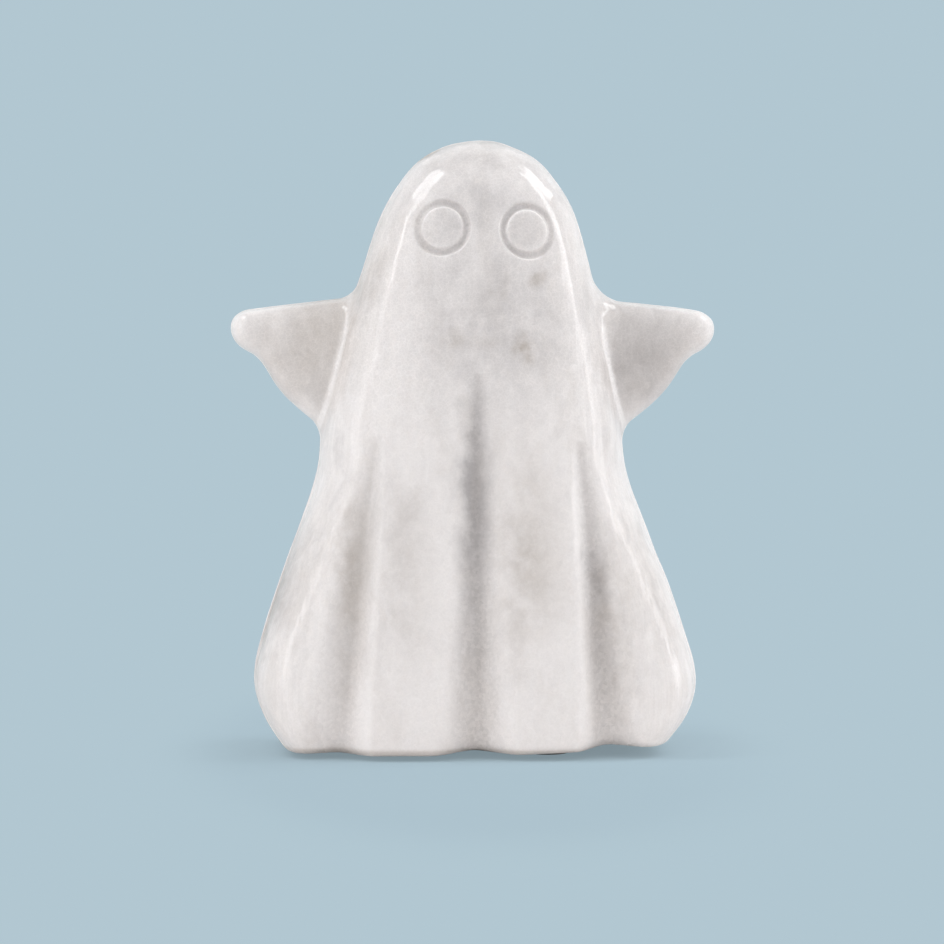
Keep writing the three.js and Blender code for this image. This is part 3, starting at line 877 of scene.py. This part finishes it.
def marble_relief(nodes, place, below_head):
    """The fine relief of the surface: soft waves, brushed streaks, mostly on the drape, and pores."""
    brushing = nodes.math("MULTIPLY", nodes.spread(below_head, 0, 1, 0.06, 1), attribute(nodes, "body"))
    brushed = nodes.vector_math("MULTIPLY", place, (1, 1, 0.025))
    brushed_height = nodes.math("MULTIPLY", nodes.noise(brushed, 620, 3, 0.5), brushing)
    skin = nodes.bump(nodes.noise(place, 210, 3, 0.5), 0.00005, 0.5)
    streaks = nodes.bump(brushed_height, 0.00016, 0.8, skin)
    return nodes.bump(nodes.noise(place, 1500, 2, 0.6), 0.000008, 0.35, streaks)


def marble_material():
    material, nodes = new_material("polished_marble")
    place = nodes.add("ShaderNodeTexCoord").outputs["Object"]
    # Grey veining and disc grey, painted shade in the cuts, and painted highlights in corners and on edges.
    shade = attribute(nodes, "shade")
    height = nodes.add("ShaderNodeSeparateXYZ", {0: place}).outputs["Z"]
    below_head = nodes.spread(height, *POLISH_DROPS, 0, 1)
    grazing = nodes.add("ShaderNodeLayerWeight", {"Blend": 0.5}).outputs["Facing"]
    return finish_material(material, nodes, {
        "Base Color": marble_colour(nodes, place, height, shade),
        "Roughness": marble_roughness(nodes, place, below_head, shade),
        "Normal": marble_relief(nodes, place, below_head),
        "IOR": 1.5,
        "Specular IOR Level": nodes.spread(grazing, 0.55, 0.9, 0.5, 0),
        "Subsurface Weight": 0.25,
        "Subsurface Radius": (1.0, 0.92, 0.85),
        "Subsurface Scale": 0.003,
    })


def felt_material():
    material, nodes = new_material("pressed_felt")
    place = nodes.add("ShaderNodeTexCoord").outputs["Object"]
    matted = nodes.noise(nodes.vector_math("MULTIPLY", place, (1, 1, 3)), 900, 5, 0.7)
    clumps = nodes.noise(place, 260, 3, 0.5)
    tone = nodes.spread(nodes.math("ADD", matted, clumps), 0.7, 1.35)
    colour = nodes.mix(tone, (0.24, 0.23, 0.215, 1), (0.43, 0.42, 0.4, 1))
    return finish_material(material, nodes, {
        "Base Color": colour,
        "Roughness": 1.0,
        "Sheen Weight": 0.4,
        "Sheen Roughness": 0.6,
        "Normal": nodes.bump(matted, 0.00015, 0.8),
    })


def film_material():
    material, nodes = new_material("adhesive_film")
    place = nodes.add("ShaderNodeTexCoord").outputs["Object"]
    smears = nodes.noise(place, 400, 3, 0.5)
    colour = nodes.mix(smears, (0.74, 0.7, 0.58, 1), (0.84, 0.81, 0.7, 1))
    return finish_material(material, nodes, {
        "Base Color": colour,
        "Roughness": nodes.spread(smears, *NOISE, 0.35, 0.6),
        "Normal": nodes.bump(smears, 0.00003, 0.5),
    })


# Felt discs, in millimetres. Their rims are ragged, from a share of the radius on, and so they are set in.
FELT_RADIUS = 5.0
FELT_THICKNESS = 1.0
FELT_EDGE = 0.22
FELT_EDGE_STEPS = 4
FELT_SIDES = 120
FELT_RAGGEDNESS = 0.025
FELT_RAGGED_FROM = 0.9
FELT_INSET = 0.05


def felt_profile():
    """Points from the bottom's middle round the edge to the top's: share of the radius, height."""
    profile = [(0.0, 0.0), (0.5, 0.0)]
    for turn in np.linspace(0, math.pi / 2, FELT_EDGE_STEPS):
        profile.append((1 - FELT_EDGE / FELT_RADIUS * (1 - math.sin(turn)), FELT_EDGE * (1 - math.cos(turn))))
    return profile + [(share, FELT_THICKNESS - height) for share, height in reversed(profile)]


def felt_ring(work, middle, share, height, ragged):
    """A ring of points of a felt disc, ragged only at its rim."""
    ring = []
    for i in range(FELT_SIDES):
        angle = 2 * math.pi * i / FELT_SIDES
        radius = share * (FELT_RADIUS - FELT_INSET) + (ragged[i] if share > FELT_RAGGED_FROM else 0)
        x = middle.x + radius * math.cos(angle) * MM
        y = middle.y + radius * math.sin(angle) * MM
        ring.append(work.verts.new((x, y, height * MM)))
    return ring


def felt_mesh(name, middle, seed):
    """The closed mesh of a felt disc on the ground."""
    random = np.random.default_rng(seed)
    ragged = random.normal(scale=FELT_RAGGEDNESS, size=FELT_SIDES)
    ragged = (ragged + np.roll(ragged, 1)) / 2
    work = bmesh.new()
    rings = [felt_ring(work, middle, share, height, ragged) for share, height in felt_profile()[1:-1]]
    bottom = work.verts.new((middle.x, middle.y, 0))
    top = work.verts.new((middle.x, middle.y, FELT_THICKNESS * MM))
    for i in range(FELT_SIDES):
        after = (i + 1) % FELT_SIDES
        work.faces.new((bottom, rings[0][after], rings[0][i]))
        work.faces.new((top, rings[-1][i], rings[-1][after]))
        for lower, upper in zip(rings, rings[1:]):
            work.faces.new((lower[i], lower[after], upper[after], upper[i]))
    mesh = bpy.data.meshes.new(name)
    work.to_mesh(mesh)
    work.free()
    mesh.shade_smooth()
    return mesh


def felt_disc(name, node, material, seed):
    """A punched felt disc with a soft, slightly ragged edge, in the place of the CAD's disc."""
    low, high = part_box(node)
    middle = Vector((low[0] + high[0], low[1] + high[1], 0)) / 2
    mesh = felt_mesh(name, middle, seed)
    mesh.materials.append(material)
    disc = add_object(name, mesh)
    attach(disc, "root")
    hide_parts(node)


def dress_pads():
    felt = felt_material()
    film = film_material()
    for seed, place in enumerate(("front_left", "front_right", "rear_left", "rear_right")):
        felt_disc(f"felt_disc_{place}", f"felt_pad_{place}", felt, seed)
        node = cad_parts[f"pad_adhesive_{place}"]
        node.data.materials.clear()
        node.data.materials.append(film)


# The backdrop's colour, and the floor near the object, which keeps its shadow. The floor is plain beyond.
BACKDROP = (0.445, 0.571, 0.640, 1)
FLOOR_PAINT = (0.396, 0.517, 0.59, 1)
FLOOR_BOUNCE = (0.88, 0.865, 0.855, 1)
FLOOR_RADIUS = 40
SHADOW_REACH = (0.045, 0.088)
SHADOW_NARROWING = 0.36
PLAIN_SHARE_NEAR = 0.45

# The light from all round, which is stronger from the front.
WORLD_LIGHT = (1, 0.987, 0.984, 1)
WORLD_FRONT = 0.905
WORLD_BACK = 0.16


def seen_directly(nodes):
    """1 for what the camera sees, straight, mirrored or through something, and 0 where only light falls."""
    path = nodes.add("ShaderNodeLightPath").outputs
    seen = nodes.math("MAXIMUM", path["Is Camera Ray"], path["Is Glossy Ray"])
    return nodes.math("MAXIMUM", seen, path["Is Transmission Ray"])


def lay_floor():
    material, nodes = new_material("studio_floor")
    place = nodes.add("ShaderNodeTexCoord").outputs["Object"]
    narrowed = nodes.vector_math("MULTIPLY", place, (1, SHADOW_NARROWING, 1))
    away = nodes.add("ShaderNodeVectorMath", {0: narrowed}, operation="LENGTH").outputs["Value"]
    paint_colour = nodes.mix(seen_directly(nodes), FLOOR_BOUNCE, FLOOR_PAINT)
    paint = nodes.add("ShaderNodeBsdfDiffuse", {"Color": paint_colour})
    plain = nodes.add("ShaderNodeEmission", {"Color": BACKDROP, "Strength": 1.0})
    far = nodes.spread(away, *SHADOW_REACH)
    cover = nodes.math("MULTIPLY", nodes.spread(far, 0, 1, PLAIN_SHARE_NEAR, 1), seen_directly(nodes))
    mixed = nodes.add("ShaderNodeMixShader", {0: cover, 1: paint.outputs[0], 2: plain.outputs[0]})
    nodes.add("ShaderNodeOutputMaterial", {"Surface": mixed.outputs[0]})
    work = bmesh.new()
    bmesh.ops.create_circle(work, cap_ends=True, segments=96, radius=FLOOR_RADIUS)
    mesh = bpy.data.meshes.new("floor")
    work.to_mesh(mesh)
    work.free()
    mesh.materials.append(material)
    floor = add_object("floor", mesh)


def light_world():
    world = bpy.data.worlds.new("studio")
    bpy.context.scene.world = world
    world.use_nodes = True
    world.node_tree.nodes.clear()
    nodes = Nodes(world.node_tree)
    direction = nodes.add("ShaderNodeTexCoord").outputs["Generated"]
    from_front = nodes.add("ShaderNodeSeparateXYZ", {0: direction}).outputs["Y"]
    front_to_back = {
        "Value": from_front, "From Min": -1, "From Max": 1, "To Min": WORLD_FRONT, "To Max": WORLD_BACK
    }
    strength = nodes.add("ShaderNodeMapRange", front_to_back).outputs[0]
    soft = nodes.add("ShaderNodeBackground", {"Color": WORLD_LIGHT, "Strength": strength})
    backdrop = nodes.add("ShaderNodeBackground", {"Color": BACKDROP, "Strength": 1.0})
    inputs = {0: seen_directly(nodes), 1: soft.outputs[0], 2: backdrop.outputs[0]}
    mixed = nodes.add("ShaderNodeMixShader", inputs)
    nodes.add("ShaderNodeOutputWorld", {"Surface": mixed.outputs[0]})


# The lamps: name, degrees round to the right of the camera's side, degrees up, then in metres their distance,
# width and height, and last their brightness.
LAMPS = [
    ("left_strip", -71, 29, 1.0, 0.11, 1.5, 4.1),
    ("left_softbox", -85, 53, 1.0, 0.2, 0.46, 4.8),
    ("right_strip", 84, 25, 1.0, 0.135, 1.4, 4.3),
    ("right_softbox", 103, 46, 1.0, 0.3, 0.46, 4.6),
    ("left_panel", -142, 20, 1.6, 1.6, 1.4, 0.25),
    ("right_panel", 142, 20, 1.6, 1.6, 1.4, 0.3),
    ("rear_softbox", 180, 55, 1.3, 1.2, 0.8, 0.6),
]
LAMP_AIM = Vector((0, 0, 0.08))


def softbox(name, around, up, away, width, height, brightness):
    """A rectangular lamp that shines at the object. Its surface is as bright as given, whatever its size."""
    data = bpy.data.lights.new(name, "AREA")
    data.shape = "RECTANGLE"
    data.size = width
    data.size_y = height
    data.energy = brightness * math.pi * width * height
    lamp = add_object(name, data)
    turn = math.radians(around)
    rise = math.radians(up)
    side = Vector((math.sin(turn) * math.cos(rise), -math.cos(turn) * math.cos(rise), math.sin(rise)))
    lamp.location = LAMP_AIM + away * side
    lamp.rotation_euler = side.to_track_quat("Z", "Y").to_euler()


# The camera: its distance and its aim in metres, the angles from which it looks, and the picture's scale.
CAMERA_AWAY = 1.2
CAMERA_AIM = Vector((-0.0001, 0, 0.06907))
CAMERA_AROUND = -2.5
CAMERA_DOWN = 2.79
PICTURE_WIDTH = 944
MM_PER_PIXEL = 0.24852


def place_camera():
    data = bpy.data.cameras.new("camera")
    data.sensor_width = 36
    view_width = PICTURE_WIDTH * MM_PER_PIXEL * MM
    data.lens = data.sensor_width * CAMERA_AWAY / view_width
    data.clip_end = 100
    camera = add_object("camera", data)
    around = math.radians(CAMERA_AROUND)
    down = math.radians(CAMERA_DOWN)
    ahead = Vector((-math.sin(around) * math.cos(down), math.cos(around) * math.cos(down), -math.sin(down)))
    camera.location = CAMERA_AIM - CAMERA_AWAY * ahead
    camera.rotation_euler = ahead.to_track_quat("-Z", "Y").to_euler()
    bpy.context.scene.camera = camera


place_camera()
stone = carve_stone(marble_material())
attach(stone, "root")
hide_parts("marble_ghost")
dress_pads()
lay_floor()
light_world()
for lamp in LAMPS:
    softbox(*lamp)
bpy.context.scene.view_settings.view_transform = "Standard"
